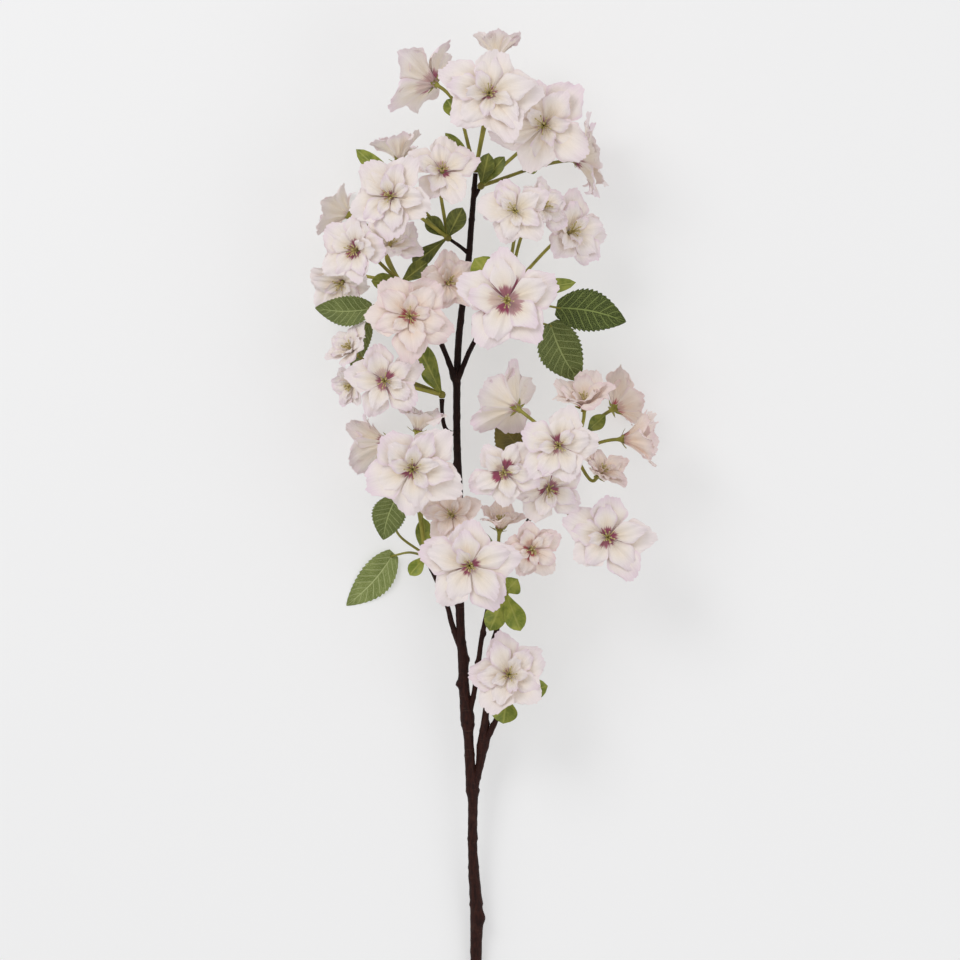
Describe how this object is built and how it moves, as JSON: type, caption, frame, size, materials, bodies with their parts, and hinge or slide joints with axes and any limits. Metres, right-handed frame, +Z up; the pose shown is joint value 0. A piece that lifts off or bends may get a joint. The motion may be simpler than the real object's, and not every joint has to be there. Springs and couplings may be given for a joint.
{
  "type": "azalea sprig",
  "caption": "Cut flowering sprig lying on its back: forked woody branch, green stalks, double frilled blooms and toothed leaves.",
  "frame": {"origin": "middle of the bounding box, on the surface that the sprig lies on", "axes": "+Z up, away from the surface; +Y along the stem from its cut end to its tip; +X across"},
  "size_m": [0.2098, 0.6046, 0.0998],
  "materials": {
    "bark": "dark red-brown bark with rings and knobs",
    "stalk": "smooth olive green stalks",
    "leaf": "green cloth leaves with a pale net of veins",
    "petal_cream": "cream to blush cloth petals, crimson at the throat",
    "petal_peach": "peach to cream cloth petals, crimson at the throat"
  },
  "bodies": {
    "root": {"branch": "bark", "stalks_tip": "stalk", "stalks_upper_right": "stalk", "stalks_upper_left": "stalk", "stalks_left": "stalk", "stalks_centre": "stalk", "stalks_middle_left": "stalk", "stalks_lower_left": "stalk", "stalks_lower_centre": "stalk", "stalks_right_upper": "stalk", "stalks_right_lower": "stalk", "stalks_lowest": "stalk", "leaflets": "leaf", "leaf_1": "leaf", "leaf_2": "leaf", "leaf_3": "leaf", "leaf_4": "leaf", "leaf_5": "leaf", "leaf_6": "leaf", "leaf_7": "leaf", "bloom_01": "petal_cream", "bloom_02": "petal_cream", "bloom_03": "petal_cream", "bloom_04": "petal_cream", "bloom_05": "petal_cream", "bloom_06": "petal_cream", "bloom_07": "petal_cream", "bloom_08": "petal_cream", "bloom_09": "petal_cream", "bloom_10": "petal_cream", "bloom_11": "petal_cream", "bloom_12": "petal_cream", "bloom_13": "petal_peach", "bloom_14": "petal_peach", "bloom_15": "petal_cream", "bloom_16": "petal_cream", "bloom_17": "petal_cream", "bloom_18": "petal_cream", "bloom_19": "petal_cream", "bloom_20": "petal_cream", "bloom_21": "petal_cream", "bloom_22": "petal_cream", "bloom_23": "petal_cream", "bloom_24": "petal_cream", "bloom_25": "petal_peach", "bloom_26": "petal_cream", "bloom_27": "petal_peach", "bloom_28": "petal_peach", "bloom_29": "petal_cream", "bloom_30": "petal_cream", "bloom_31": "petal_cream", "bloom_32": "petal_cream", "bloom_33": "petal_cream", "bloom_34": "petal_peach", "bloom_35": "petal_peach", "bloom_36": "petal_peach", "bloom_37": "petal_peach", "bloom_38": "petal_cream"}
  },
  "joints": []
}
